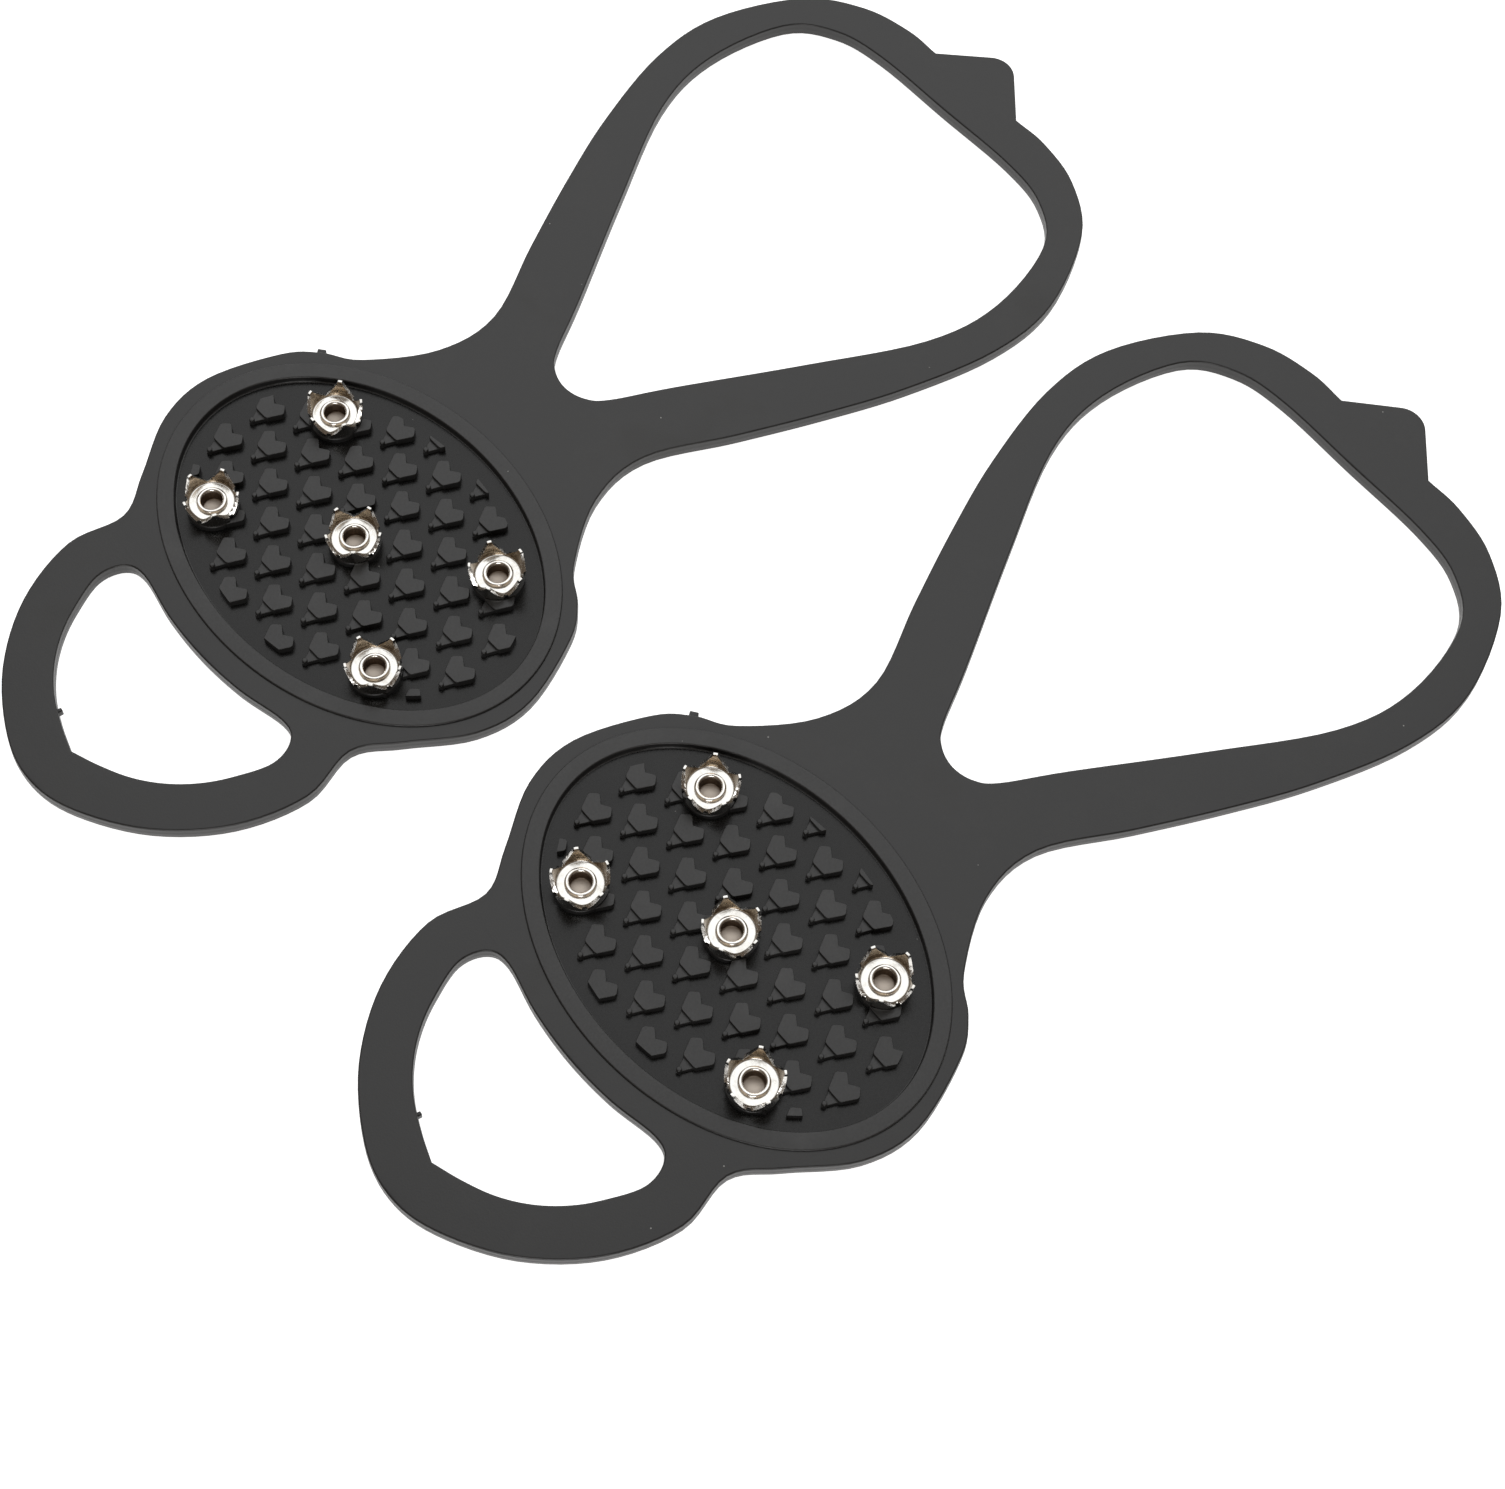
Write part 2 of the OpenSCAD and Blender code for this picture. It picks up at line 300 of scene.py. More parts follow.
def between(p0, p1, p2, p3, t):
    """A point of the even curve from p1 to p2."""
    straight = 2 * p1 + (p2 - p0) * t
    bent = (2 * p0 - 5 * p1 + 4 * p2 - p3) * t ** 2 + (3 * p1 - p0 - 3 * p2 + p3) * t ** 3
    return (straight + bent) / 2


def smooth(stations, first_is_corner=False, last_is_corner=False):
    points = [Vector(station) for station in stations]
    before = 2 * points[0] - points[1] if first_is_corner else mirrored(points[1])
    after = 2 * points[-1] - points[-2] if last_is_corner else mirrored(points[-2])
    run = [before] + points + [after]
    curve = [
        between(*run[i - 1:i + 3], k / CURVE_STEPS)
        for i in range(1, len(points)) for k in range(CURVE_STEPS)]
    return curve + [points[-1]]


def tab_end():
    """The round end of the pull tab, from where its straight side meets it."""
    centre = Vector((0, tab_y + tab_r))
    foot = Vector((tab_w / 2, -heel_end)) - centre
    start = math.atan2(foot.y, foot.x) - math.acos(tab_r / foot.length)
    turn = (-math.pi / 2 - start) / TAB_STEPS
    return [centre + tab_r * Vector((math.cos(start + i * turn), math.sin(start + i * turn)))
            for i in range(TAB_STEPS + 1)]


def add_outline(curve, half):
    """Adds a closed line through a half outline and its mirror image."""
    points = half + [mirrored(p) for p in half[-2:0:-1]]
    line = curve.splines.new("POLY")
    line.points.add(len(points) - 1)
    line.use_cyclic_u = True
    for knot, point in zip(line.points, points):
        knot.co = (point.x, point.y, 0, 1)

# %% [markdown]
# ## The moulded rubber sheet
#
# A two-dimensional curve with two holes in it fills itself, and its bevel rounds both rims
# of the sheet, just as the two halves of a mould leave them. Curves can't be cut, so the
# sheet becomes a mesh. Where the mould closes, a fine line of flash runs round every wall:
# the walls are cut at three heights and the middle cut is pushed out by a hair.

# %% Make the sheet
edge_round = 0.35 * MM
flash = 0.07 * MM

outline = bpy.data.curves.new("rubber_sheet", "CURVE")
outline.dimensions = "2D"
outline.fill_mode = "BOTH"
outline.extrude = rubber_t / 2 - edge_round
outline.bevel_depth = edge_round
outline.bevel_resolution = 2
outline.offset = -edge_round
add_outline(outline, smooth(outer_half, last_is_corner=True) + tab_end())
add_outline(outline, smooth(toe_hole_half, first_is_corner=True))
add_outline(outline, smooth(heel_hole_half))
sheet = bpy.data.objects.new("rubber_sheet", outline)
bpy.context.scene.collection.objects.link(sheet)
sheet.location.z = rubber_t / 2
choose(sheet)
bpy.ops.object.convert(target="MESH")
bpy.ops.object.transform_apply(location=True, rotation=True, scale=True)
clean(sheet)
report(sheet)


def cut_across(obj, point, normal):
    """Cuts new edges into the whole mesh where a plane crosses it."""
    choose(obj)
    bpy.ops.object.mode_set(mode="EDIT")
    bpy.ops.mesh.select_all(action="SELECT")
    bpy.ops.mesh.bisect(plane_co=point, plane_no=normal)
    leave_edit()


for height in (0.42, 0.5, 0.58):
    cut_across(sheet, (0, 0, height * rubber_t), (0, 0, 1))
pick_edges(sheet, lambda p: abs(p.z - rubber_t / 2) < NEAR)
bpy.ops.transform.shrink_fatten(value=flash)
leave_edit()
report(sheet)

# %% [markdown]
# ## Cross cuts where the loops bend
#
# A loop bends over a stretch of rubber and not at a sharp line, so the sheet needs a row of
# cross cuts there, or its long flat faces would break when the loop is posed.

# %% Cut across the bending stretches
BEND_STEP = 1 * MM
toe_stretch = (toe_bend - 5 * MM, toe_bend + 5 * MM)
heel_stretch = (-heel_bend + 7 * MM, -heel_bend - 7 * MM)
for start, end in (toe_stretch, heel_stretch):
    steps = round(abs(end - start) / BEND_STEP)
    for i in range(steps + 1):
        cut_across(sheet, (0, start + (end - start) * i / steps, 0), (0, 1, 0))
report(sheet)

# %% [markdown]
# ## The pad's oval
#
# Inside its flange the pad is an oval with a raised rim and a sunken floor. It is made as a
# separate disc from a circle, by extrude and inset, and the sheet gets the same oval hole.
# Both use the same circle, so their edges meet exactly and no gap shows.

# %% Start both ovals from one circle
OVAL_SIDES = 160
CUT_LOW = -1 * MM
CUT_HIGH = 6 * MM
flange_w = 3 * MM
rim_w = 3.3 * MM
rim_h = 0.4 * MM
floor_t = 2 * MM
pad_shift = -0.8 * MM
rim_half_w = pad_w / 2 - flange_w
rim_half_l = pad_l / 2 - flange_w
rim_top = rubber_t + rim_h


def oval(name, half_w, half_l, z):
    bpy.ops.mesh.primitive_circle_add(vertices=OVAL_SIDES, radius=1, fill_type="NGON")
    obj = take_new(name)
    obj.scale = (half_w, half_l, 1)
    obj.location = (0, pad_shift, z)
    choose(obj)
    bpy.ops.object.transform_apply(location=True, rotation=True, scale=True)
    return obj


def pull_up(obj, z_from, height):
    """Extrudes the faces that lie at one height, straight up."""
    pick_faces(obj, lambda c, n: abs(c.z - z_from) < 0.001 * MM and abs(n.z) > 0.9)
    bpy.ops.mesh.extrude_region_move(TRANSFORM_OT_translate={"value": (0, 0, height)})
    leave_edit()


hole_cutter = oval("hole_cutter", rim_half_w, rim_half_l, CUT_LOW)
pull_up(hole_cutter, CUT_LOW, CUT_HIGH - CUT_LOW)
clean(hole_cutter)
boolean(sheet, hole_cutter, "DIFFERENCE")
report(sheet)

# %% [markdown]
# ## Front and rear halves
#
# The sheet is parted in two across the pad's narrow flange, where the cut hardly shows, and
# each half is closed with a flat face.

# %% Part the sheet in two
def half_of_sheet(name, keep_front):
    choose(sheet)
    bpy.ops.object.duplicate()
    obj = take_new(name)
    bpy.ops.object.mode_set(mode="EDIT")
    bpy.ops.mesh.select_all(action="SELECT")
    bpy.ops.mesh.bisect(
        plane_co=(0, pad_shift, 0), plane_no=(0, 1, 0), use_fill=True,
        clear_inner=keep_front, clear_outer=not keep_front)
    leave_edit()
    clean(obj)
    report(obj)
    return obj


front_rubber = half_of_sheet("front_rubber", True)
rear_rubber = half_of_sheet("rear_rubber", False)
bpy.data.objects.remove(sheet)

# %% [markdown]
# ## Gate nubs
#
# Rubber is let into the mould at a gate, and the stub that is torn off leaves a small nub.
# There is one on the edge of the pad and a tinier one inside the toe loop. Each is a short
# block, sunk into the rubber.

# %% Add the nubs to the halves
def add_nub(obj, place, size, turn):
    bpy.ops.mesh.primitive_cube_add(size=1)
    nub = take_new("gate_nub")
    nub.scale = size
    nub.rotation_euler.z = math.radians(turn)
    nub.location = (*place, rubber_t / 2)
    choose(nub)
    bpy.ops.object.transform_apply(location=True, rotation=True, scale=True)
    add_modifier(nub, "BEVEL", width=0.2 * MM, segments=2)
    boolean(obj, nub, "UNION")
    report(obj)


pad_nub_size = Vector((2.6, 1.7, 1.8)) * MM
toe_nub_size = Vector((0.8, 1.6, 1.6)) * MM
add_nub(rear_rubber, (0.396 * pad_w, -0.31 * pad_l), pad_nub_size, -52)
add_nub(front_rubber, (8.2 * MM, toe_tip - 12 * MM), toe_nub_size, -10)

# %% [markdown]
# ## The tread pad
#
# The disc starts as the oval: one extrude makes it a plate, an inset marks off the rim, and
# the face inside is pushed down to the floor. The rim's edges and the floor's corner are
# bevelled, because a mould has no sharp corners.

# %% Shape the plate, rim and floor
MOULD_ROUND = 0.3 * MM

pad = oval("tread_pad", rim_half_w, rim_half_l, 0)
pull_up(pad, 0, rim_top)
pick_faces(pad, lambda c, n: c.z > rim_top - NEAR)
bpy.ops.mesh.inset(thickness=rim_w)
bpy.ops.mesh.extrude_region_move(TRANSFORM_OT_translate={"value": (0, 0, floor_t - rim_top)})
leave_edit()
clean(pad)
pick_edges(pad, lambda p: p.z > rim_top - NEAR)
bpy.ops.mesh.bevel(offset=MOULD_ROUND, segments=3, affect="EDGES")
leave_edit()
pick_edges(pad, lambda p: abs(p.z - floor_t) < NEAR)
bpy.ops.mesh.bevel(offset=MOULD_ROUND, segments=3, affect="EDGES")
leave_edit()
report(pad)

# %% [markdown]
# ## Bosses under the crowns
#
# Each crown stands on a round rubber boss. Its rounded top edge catches the light as a thin
# ring under the steel.

# %% Model one boss and join five of them to the pad
boss_r = (crown_high.x - crown_low.x) / 2 - 0.5 * MM
boss_sink = 0.5 * MM


def upright(name, radius, low, high, place=(0, 0), sides=48):
    """A cylinder between two heights."""
    bpy.ops.mesh.primitive_cylinder_add(
        vertices=sides, radius=radius, depth=high - low,
        location=(place[0], place[1], (low + high) / 2))
    obj = take_new(name)
    choose(obj)
    bpy.ops.object.transform_apply(location=True, rotation=True, scale=True)
    return obj


def round_top(obj, top, width, segments=2):
    pick_edges(obj, lambda p: p.z > top - NEAR)
    bpy.ops.mesh.bevel(offset=width, segments=segments, affect="EDGES")
    leave_edit()


def join(name, objects):
    bpy.ops.object.select_all(action="DESELECT")
    for obj in objects:
        obj.select_set(True)
    bpy.context.view_layer.objects.active = objects[0]
    bpy.ops.object.join()
    return take_new(name)


bosses = []
for place in stud_places:
    boss = upright("boss", boss_r, floor_t - boss_sink, boss_top, place)
    round_top(boss, boss_top, MOULD_ROUND, 3)
    bosses.append(boss)
boolean(pad, join("bosses", bosses), "UNION")
report(pad)

# %% [markdown]
# ## Holes for the rivets
#
# Each rivet passes through the pad, and its flat head lies flush in a pocket underneath.

# %% Drill the pad
hole_fit = 0.05 * MM
shank_r = 2.4 * MM
head_r = 4.5 * MM
head_t = 0.8 * MM
shafts = [upright("drill", shank_r + hole_fit, CUT_LOW, CUT_HIGH, place) for place in stud_places]
pockets = [upright("pocket", head_r + 2 * hole_fit, CUT_LOW, head_t, place) for place in stud_places]
boolean(pad, join("shafts", shafts), "DIFFERENCE")
boolean(pad, join("pockets", pockets), "DIFFERENCE")
clean(pad)
report(pad)

# %% [markdown]
# ## One tread heart
#
# A tread block is a heart that points to the toe, with a lower tail and a round pin at its
# tip. A circle with as many corners as the outline needs is a good start: its corners are
# pulled into place, rounded in plan by a vertex bevel, and extruded. Only the notch between
# the heart's two lobes stays sharp. Each block's top edge is rounded before the three are
# joined, while its mesh is still simple.

# %% Model the heart, its tail and its pin
heart_h = 1.5 * MM
tail_h = 0.9 * MM
pin_r = 0.5 * MM
block_round = 0.12 * MM
block_sink = 0.3 * MM
half_w = 3.15 * MM
step_y = -2.05 * MM
shoulder_y = -5.1 * MM
tip_y = 0.9 * MM
lobe_x = 1.75 * MM
lobe_y = -6.6 * MM
notch_y = -5.35 * MM
heart_round = 0.45 * MM
tail_round = 0.4 * MM
tail_tuck = 0.6 * MM
step_x = half_w * (tip_y - step_y) / (tip_y - shoulder_y)


def prism(name, corners, height, corner_round, sharp=(), base=floor_t - block_sink):
    """An upright block whose top edge and corners are rounded, except the sharp corners."""
    bpy.ops.mesh.primitive_circle_add(vertices=len(corners), radius=1, fill_type="NGON")
    obj = take_new(name)
    for vertex, (x, y) in zip(obj.data.vertices, corners):
        vertex.co = (x, y, base)
    choose(obj)
    bpy.ops.object.mode_set(mode="EDIT")
    bpy.ops.mesh.select_all(action="DESELECT")
    leave_edit()
    for i, vertex in enumerate(obj.data.vertices):
        vertex.select = i not in sharp
    bpy.ops.object.mode_set(mode="EDIT")
    bpy.ops.mesh.bevel(offset=corner_round, segments=4, affect="VERTICES")
    bpy.ops.mesh.select_all(action="SELECT")
    bpy.ops.mesh.extrude_region_move(
        TRANSFORM_OT_translate={"value": (0, 0, floor_t + height - base)})
    leave_edit()
    clean(obj)
    round_top(obj, floor_t + height, block_round)
    return obj


heart_side = [(step_x, step_y), (half_w, shoulder_y), (lobe_x, lobe_y)]
heart_corners = heart_side + [(0, notch_y)] + [(-x, y) for x, y in reversed(heart_side)]
tail_corners = [(step_x, step_y - tail_tuck), (0, tip_y), (-step_x, step_y - tail_tuck)]
heart = prism("heart", heart_corners, heart_h, heart_round, sharp=[len(heart_side)])
tail = prism("tail", tail_corners, tail_h, tail_round)
boolean(heart, tail, "UNION")
pin = upright("pin", pin_r, floor_t - block_sink, floor_t + heart_h, sides=16)
round_top(pin, floor_t + heart_h, 0.2 * MM, 3)
boolean(heart, pin, "UNION")
report(heart)

# %% [markdown]
# ## The tread
#
# The hearts stand in rows, and every second row is set back by half a pitch. Those near the
# rim are cut off by an oval, a little nearer the toe than the pad's own, and the bosses keep
# a small clearance round themselves. Hearts of which only a crumb would be left are skipped.

# %% Copy the heart over the floor and clip the rows
heart_row = 6.65 * MM
heart_pitch = 10 * MM
tread_margin = 3.2 * MM
tread_half_w = rim_half_w - rim_w - tread_margin
tread_half_l = rim_half_l - rim_w - tread_margin
boss_clear = 0.12 * MM
clip_shift = 0.6 * MM
FRAGMENT_LIMIT = 0.93


def near_tread(x, y):
    reach_x = x / (tread_half_w + 4 * MM)
    reach_y = (y - 2.8 * MM - pad_shift) / (tread_half_l + 5 * MM)
    return reach_x ** 2 + reach_y ** 2 < FRAGMENT_LIMIT


def tread_places():
    rows = math.ceil(tread_half_w / heart_row)
    columns = math.ceil(tread_half_l / heart_pitch) + 1
    for row in range(-rows, rows + 1):
        shift = 0.25 if row % 2 == 0 else -0.25
        for column in range(-columns, columns + 1):
            x, y = row * heart_row, (column + shift) * heart_pitch
            if near_tread(x, y):
                yield x, y


blocks = []
for x, y in tread_places():
    block = heart.copy()
    block.data = heart.data.copy()
    bpy.context.scene.collection.objects.link(block)
    block.location = (x, y, 0)
    blocks.append(block)
bpy.data.objects.remove(heart)
tread = join("tread", blocks)
bpy.ops.object.transform_apply(location=True, rotation=True, scale=True)
print("the tread has", len(blocks), "hearts before clipping")

clip = oval("tread_clip", tread_half_w, tread_half_l, CUT_LOW)
pull_up(clip, CUT_LOW, CUT_HIGH - CUT_LOW)
clean(clip)
clip.location.y = clip_shift
choose(clip)
bpy.ops.object.transform_apply(location=True, rotation=True, scale=True)
boolean(tread, clip, "INTERSECT")
boss_space = join("boss_space", [
    upright("boss_space", boss_r + boss_clear, 0, CUT_HIGH, place) for place in stud_places])
boolean(tread, boss_space, "DIFFERENCE")
clean(tread)
report(tread)
boolean(pad, tread, "UNION")
clean(pad)
report(pad)

# %% [markdown]
# ## One steel crown
#
# A crown is stamped from sheet: a flat floor with a hole, and a wall drawn up at its edge
# that is cut into five pointed teeth. Spinning a cross-section about the stud's axis gives
# the cup with its soft bend. Its wall leans outwards a little, as a drawn wall does.

# %% Spin the cup
teeth = 5
crown_r = (crown_high.x - crown_low.x) / 2
crown_t = 1.2 * MM
tooth_h = tooth_top - boss_top
hole_r = shank_r + hole_fit
SPIN_STEPS = 60


def spun(name, profile):
    """Spins a closed (radius, height) profile about the Z axis."""
    bpy.ops.mesh.primitive_circle_add(vertices=len(profile), radius=1, fill_type="NOTHING")
    obj = take_new(name)
    for vertex, (r, z) in zip(obj.data.vertices, profile):
        vertex.co = (r, 0, z)
    choose(obj)
    bpy.ops.object.mode_set(mode="EDIT")
    bpy.ops.mesh.select_all(action="SELECT")
    bpy.ops.mesh.spin(
        steps=SPIN_STEPS, angle=2 * math.pi, center=(0, 0, 0), axis=(0, 0, 1))
    leave_edit()
    clean(obj)
    return obj


def arc(centre_r, centre_z, radius, start, end, steps=4):
    """Points of an arc in a (radius, height) profile, with its angles in degrees."""
    points = []
    for i in range(steps + 1):
        a = math.radians(start + (end - start) * i / steps)
        points.append((centre_r + radius * math.cos(a), centre_z + radius * math.sin(a)))
    return points


base_r = crown_r - 0.4 * MM
bend_r = 0.8 * MM
fillet_r = 0.35 * MM
floor_r = base_r - 0.7 * MM
crown_profile = (
    [(hole_r, 0)]
    + arc(base_r - bend_r, bend_r, bend_r, -90, 0)
    + [(crown_r - 0.05 * MM, 0.85 * tooth_h), (crown_r, 0.95 * tooth_h)]
    + [(crown_r - 0.08 * MM, tooth_h), (crown_r - 0.5 * MM, tooth_h)]
    + [(crown_r - 0.62 * MM, 0.9 * tooth_h)]
    + arc(floor_r - fillet_r, crown_t + fillet_r, fillet_r, 0, -90, 4)
    + [(hole_r, crown_t)])
crown = spun("crown", crown_profile)
report(crown)

# %% [markdown]
# The teeth are what is left of the wall after stamping. Each is a long prism with a pointed
# section that reaches out from the middle. The five prisms and a round core are joined, and
# the cup keeps only what lies inside them. That leaves blunt tips with parallel sides and a
# sharp cusp on each side of every notch. A small round relief hole deepens the notch.

# %% Keep the teeth and the floor
tooth_start = 2 * MM
tooth_end = 7 * MM
tooth_half = [(-0.5, 3.1), (0.9, 3.0), (1.25, 2.8), (1.7, 2.3), (2.5, 1.62), (3.4, 0.98)]
tooth_half += [(4.1, 0.55), (4.5, 0.4), (6, 0.36)]
tooth_outline = [(half * MM, z * MM) for z, half in tooth_half]
tooth_outline += [(-x, z) for x, z in reversed(tooth_outline)]


def tooth_prism(angle):
    bpy.ops.mesh.primitive_circle_add(
        vertices=len(tooth_outline), radius=1, fill_type="NGON")
    obj = take_new("tooth_prism")
    for vertex, (x, z) in zip(obj.data.vertices, tooth_outline):
        vertex.co = (tooth_start, x, z)
    choose(obj)
    bpy.ops.object.mode_set(mode="EDIT")
    bpy.ops.mesh.select_all(action="SELECT")
    bpy.ops.mesh.extrude_region_move(TRANSFORM_OT_translate={"value": (tooth_end - tooth_start, 0, 0)})
    leave_edit()
    clean(obj)
    obj.rotation_euler.z = angle
    choose(obj)
    bpy.ops.object.transform_apply(location=True, rotation=True, scale=True)
    return obj


keep = upright("crown_core", floor_r - 0.05 * MM, CUT_LOW, 2.5 * MM)
for k in range(teeth):
    boolean(keep, tooth_prism(2 * math.pi * k / teeth), "UNION")
report(keep)
boolean(crown, keep, "INTERSECT")
relief_r = 0.5 * MM
relief_out = base_r + 0.1 * MM
notches = []
for k in range(teeth):
    angle = 2 * math.pi * (k + 0.5) / teeth
    centre = (relief_out * math.cos(angle), relief_out * math.sin(angle))
    notches.append(upright("notch", relief_r, CUT_LOW, CUT_HIGH, centre, 20))
boolean(crown, join("notches", notches), "DIFFERENCE")
clean(crown)
add_modifier(
    crown, "BEVEL", width=0.07 * MM, segments=2, limit_method="ANGLE",
    angle_limit=math.radians(40), use_clamp_overlap=True)
clean(crown)
report(crown)

# %% [markdown]
# ## One rivet
#
# The rivet is semi-tubular: a flat head under the pad, a solid shank, and a hollow end that
# is rolled outwards over the crown's floor. The roll leaves a small lip inside the mouth
# and pinches a fine dark groove where it meets the floor.

# %% Spin the rivet
rivet_wall = 0.45 * MM
hollow_r = shank_r - rivet_wall
roll_r = 0.45 * MM
roll_z = rivet_top - roll_r - 0.2 * MM
hollow_z = rivet_top - 3.3 * MM
rivet_profile = (
    [(0, 0), (head_r - 0.15 * MM, 0)]
    + [(head_r, 0.15 * MM), (head_r, head_t - 0.1 * MM), (head_r - 0.1 * MM, head_t)]
    + [(shank_r, head_t), (shank_r, roll_z - roll_r)]
    + arc(shank_r, roll_z, roll_r, -60, 165, 9)
    + [(hollow_r + 0.08 * MM, roll_z - 0.3 * MM), (hollow_r, roll_z - 0.42 * MM)]
    + [(hollow_r, hollow_z + 0.25 * MM), (hollow_r - 0.25 * MM, hollow_z + 0.05 * MM)]
    + [(0, hollow_z)])
rivet = spun("rivet", rivet_profile)
report(rivet)

# %% [markdown]
# ## Shared shader effects
#
# Rubber and steel both show small things that several materials share: fine grain, sparse
# specks of dust and soft blotches. Each is a node group that is built once. A group only
# puts out a mask or a colour, and the shader itself stays in the material.

# %% Node group helpers
def new_group(name, inputs, outputs):
    group = bpy.data.node_groups.new(name, "ShaderNodeTree")
    for label, value in inputs:
        socket = group.interface.new_socket(label, in_out="INPUT", socket_type="NodeSocketFloat")
        socket.default_value = value
    for label in outputs:
        group.interface.new_socket(label, in_out="OUTPUT", socket_type="NodeSocketFloat")
    return group


def remap(tree, value, low, high, to_low=0.0, to_high=1.0):
    """Turns the range low to high into to_low to to_high, and holds it there."""
    node = tree.nodes.new("ShaderNodeMapRange")
    node.interpolation_type = "SMOOTHSTEP"
    tree.links.new(value, node.inputs["Value"])
    for label, number in zip(
            ("From Min", "From Max", "To Min", "To Max"), (low, high, to_low, to_high)):
        node.inputs[label].default_value = number
    return node.outputs["Result"]


def noise(tree, place, scale, detail=2.0, roughness=0.5):
    node = tree.nodes.new("ShaderNodeTexNoise")
    tree.links.new(place, node.inputs["Vector"])
    node.inputs["Scale"].default_value = scale
    node.inputs["Detail"].default_value = detail
    node.inputs["Roughness"].default_value = roughness
    return node.outputs["Fac"]


def times(tree, a, b):
    node = tree.nodes.new("ShaderNodeMath")
    node.operation = "MULTIPLY"
    for socket, value in zip(node.inputs, (a, b)):
        if isinstance(value, bpy.types.NodeSocket):
            tree.links.new(value, socket)
        else:
            socket.default_value = value
    return node.outputs[0]

# %% The groups
def dust_group():
    """Sparse bright specks, each a small round dot of its own size."""
    group = new_group("dust", [("Scale", 400.0), ("Size", 0.12)], ["Mask"])
    entry = group.nodes.new("NodeGroupInput")
    leave = group.nodes.new("NodeGroupOutput")
    place = group.nodes.new("ShaderNodeTexCoord").outputs["Object"]
    cells = group.nodes.new("ShaderNodeTexVoronoi")
    cells.feature = "F1"
    group.links.new(place, cells.inputs["Vector"])
    group.links.new(entry.outputs["Scale"], cells.inputs["Scale"])
    near = group.nodes.new("ShaderNodeMath")
    near.operation = "LESS_THAN"
    group.links.new(cells.outputs["Distance"], near.inputs[0])
    group.links.new(entry.outputs["Size"], near.inputs[1])
    chance = group.nodes.new("ShaderNodeSeparateColor")
    group.links.new(cells.outputs["Color"], chance.inputs["Color"])
    few = remap(group, chance.outputs["Red"], 0.93, 0.97)
    group.links.new(times(group, near.outputs[0], few), leave.inputs["Mask"])
    return group


def bloom_group():
    """Faint cloudy patches, such as the bloom on moulded rubber."""
    group = new_group("bloom", [("Scale", 60.0)], ["Mask", "Fine"])
    entry = group.nodes.new("NodeGroupInput")
    leave = group.nodes.new("NodeGroupOutput")
    place = group.nodes.new("ShaderNodeTexCoord").outputs["Object"]
    cloud = group.nodes.new("ShaderNodeTexNoise")
    cloud.inputs["Detail"].default_value = 6.0
    cloud.inputs["Roughness"].default_value = 0.62
    group.links.new(place, cloud.inputs["Vector"])
    group.links.new(entry.outputs["Scale"], cloud.inputs["Scale"])
    group.links.new(remap(group, cloud.outputs["Fac"], 0.5, 0.78), leave.inputs["Mask"])
    group.links.new(noise(group, place, 2600.0, 3.0, 0.6), leave.inputs["Fine"])
    return group


dust = dust_group()
bloom = bloom_group()

# %% [markdown]
# ## The rubber
#
# Black thermoplastic rubber is a dark grey in soft light, nearly matt on the flat faces and
# a little glossier on the polished tread. It carries fine grain, a cloudy grey bloom and a
# few specks of dust. The tread's material is the same rubber with a smoother mould finish.
# The sunken floor between the hearts gets a darker, glossier copy. Its darker colour is painted shade.

# %% Build the rubber materials
def new_material(name):
    material = bpy.data.materials.new(name)
    material.use_nodes = True
    return material, material.node_tree, material.node_tree.nodes["Principled BSDF"]


def mix_colour(tree, mask, first, second):
    node = tree.nodes.new("ShaderNodeMix")
    node.data_type = "RGBA"
    tree.links.new(mask, node.inputs["Factor"])
    for index, value in ((6, first), (7, second)):
        if isinstance(value, bpy.types.NodeSocket):
            tree.links.new(value, node.inputs[index])
        else:
            node.inputs[index].default_value = (*value, 1)
    return node.outputs[2]


def use_group(tree, group, **values):
    node = tree.nodes.new("ShaderNodeGroup")
    node.node_tree = group
    for key, value in values.items():
        node.inputs[key].default_value = value
    return node


def bump(tree, shader, height, distance, strength=1.0):
    node = tree.nodes.new("ShaderNodeBump")
    node.inputs["Distance"].default_value = distance
    node.inputs["Strength"].default_value = strength
    tree.links.new(height, node.inputs["Height"])
    tree.links.new(node.outputs["Normal"], shader.inputs["Normal"])


def rubber_material(name, dark, pale, rough_low, rough_high, grain):
    material, tree, shader = new_material(name)
    patches = use_group(tree, bloom, Scale=45.0)
    specks = use_group(tree, dust, Scale=330.0, Size=0.05)
    body = mix_colour(tree, patches.outputs["Mask"], dark, pale)
    rough = remap(tree, patches.outputs["Mask"], 0.0, 1.0, rough_low, rough_high)
    bump(tree, shader, patches.outputs["Fine"], grain)
    dusty = mix_colour(tree, specks.outputs["Mask"], body, (0.3, 0.3, 0.29))
    tree.links.new(dusty, shader.inputs["Base Color"])
    tree.links.new(rough, shader.inputs["Roughness"])
    return material


def tread_material(name, dark, pale, roughness, specular):
    """The tread's rubber. Its darker copy on the sunken floor is painted shade, and its gloss is the
    mould's polish.
    """
    material, tree, shader = new_material(name)
    patches = use_group(tree, bloom, Scale=70.0)
    specks = use_group(tree, dust, Scale=330.0, Size=0.05)
    body = mix_colour(tree, patches.outputs["Mask"], dark, pale)
    dusty = mix_colour(tree, specks.outputs["Mask"], body, (0.3, 0.3, 0.29))
    tree.links.new(dusty, shader.inputs["Base Color"])
    rough = remap(tree, patches.outputs["Fine"], 0.3, 0.7, roughness, roughness + 0.1)
    tree.links.new(rough, shader.inputs["Roughness"])
    shader.inputs["Specular IOR Level"].default_value = specular
    bump(tree, shader, patches.outputs["Fine"], 0.012 * MM)
    return material


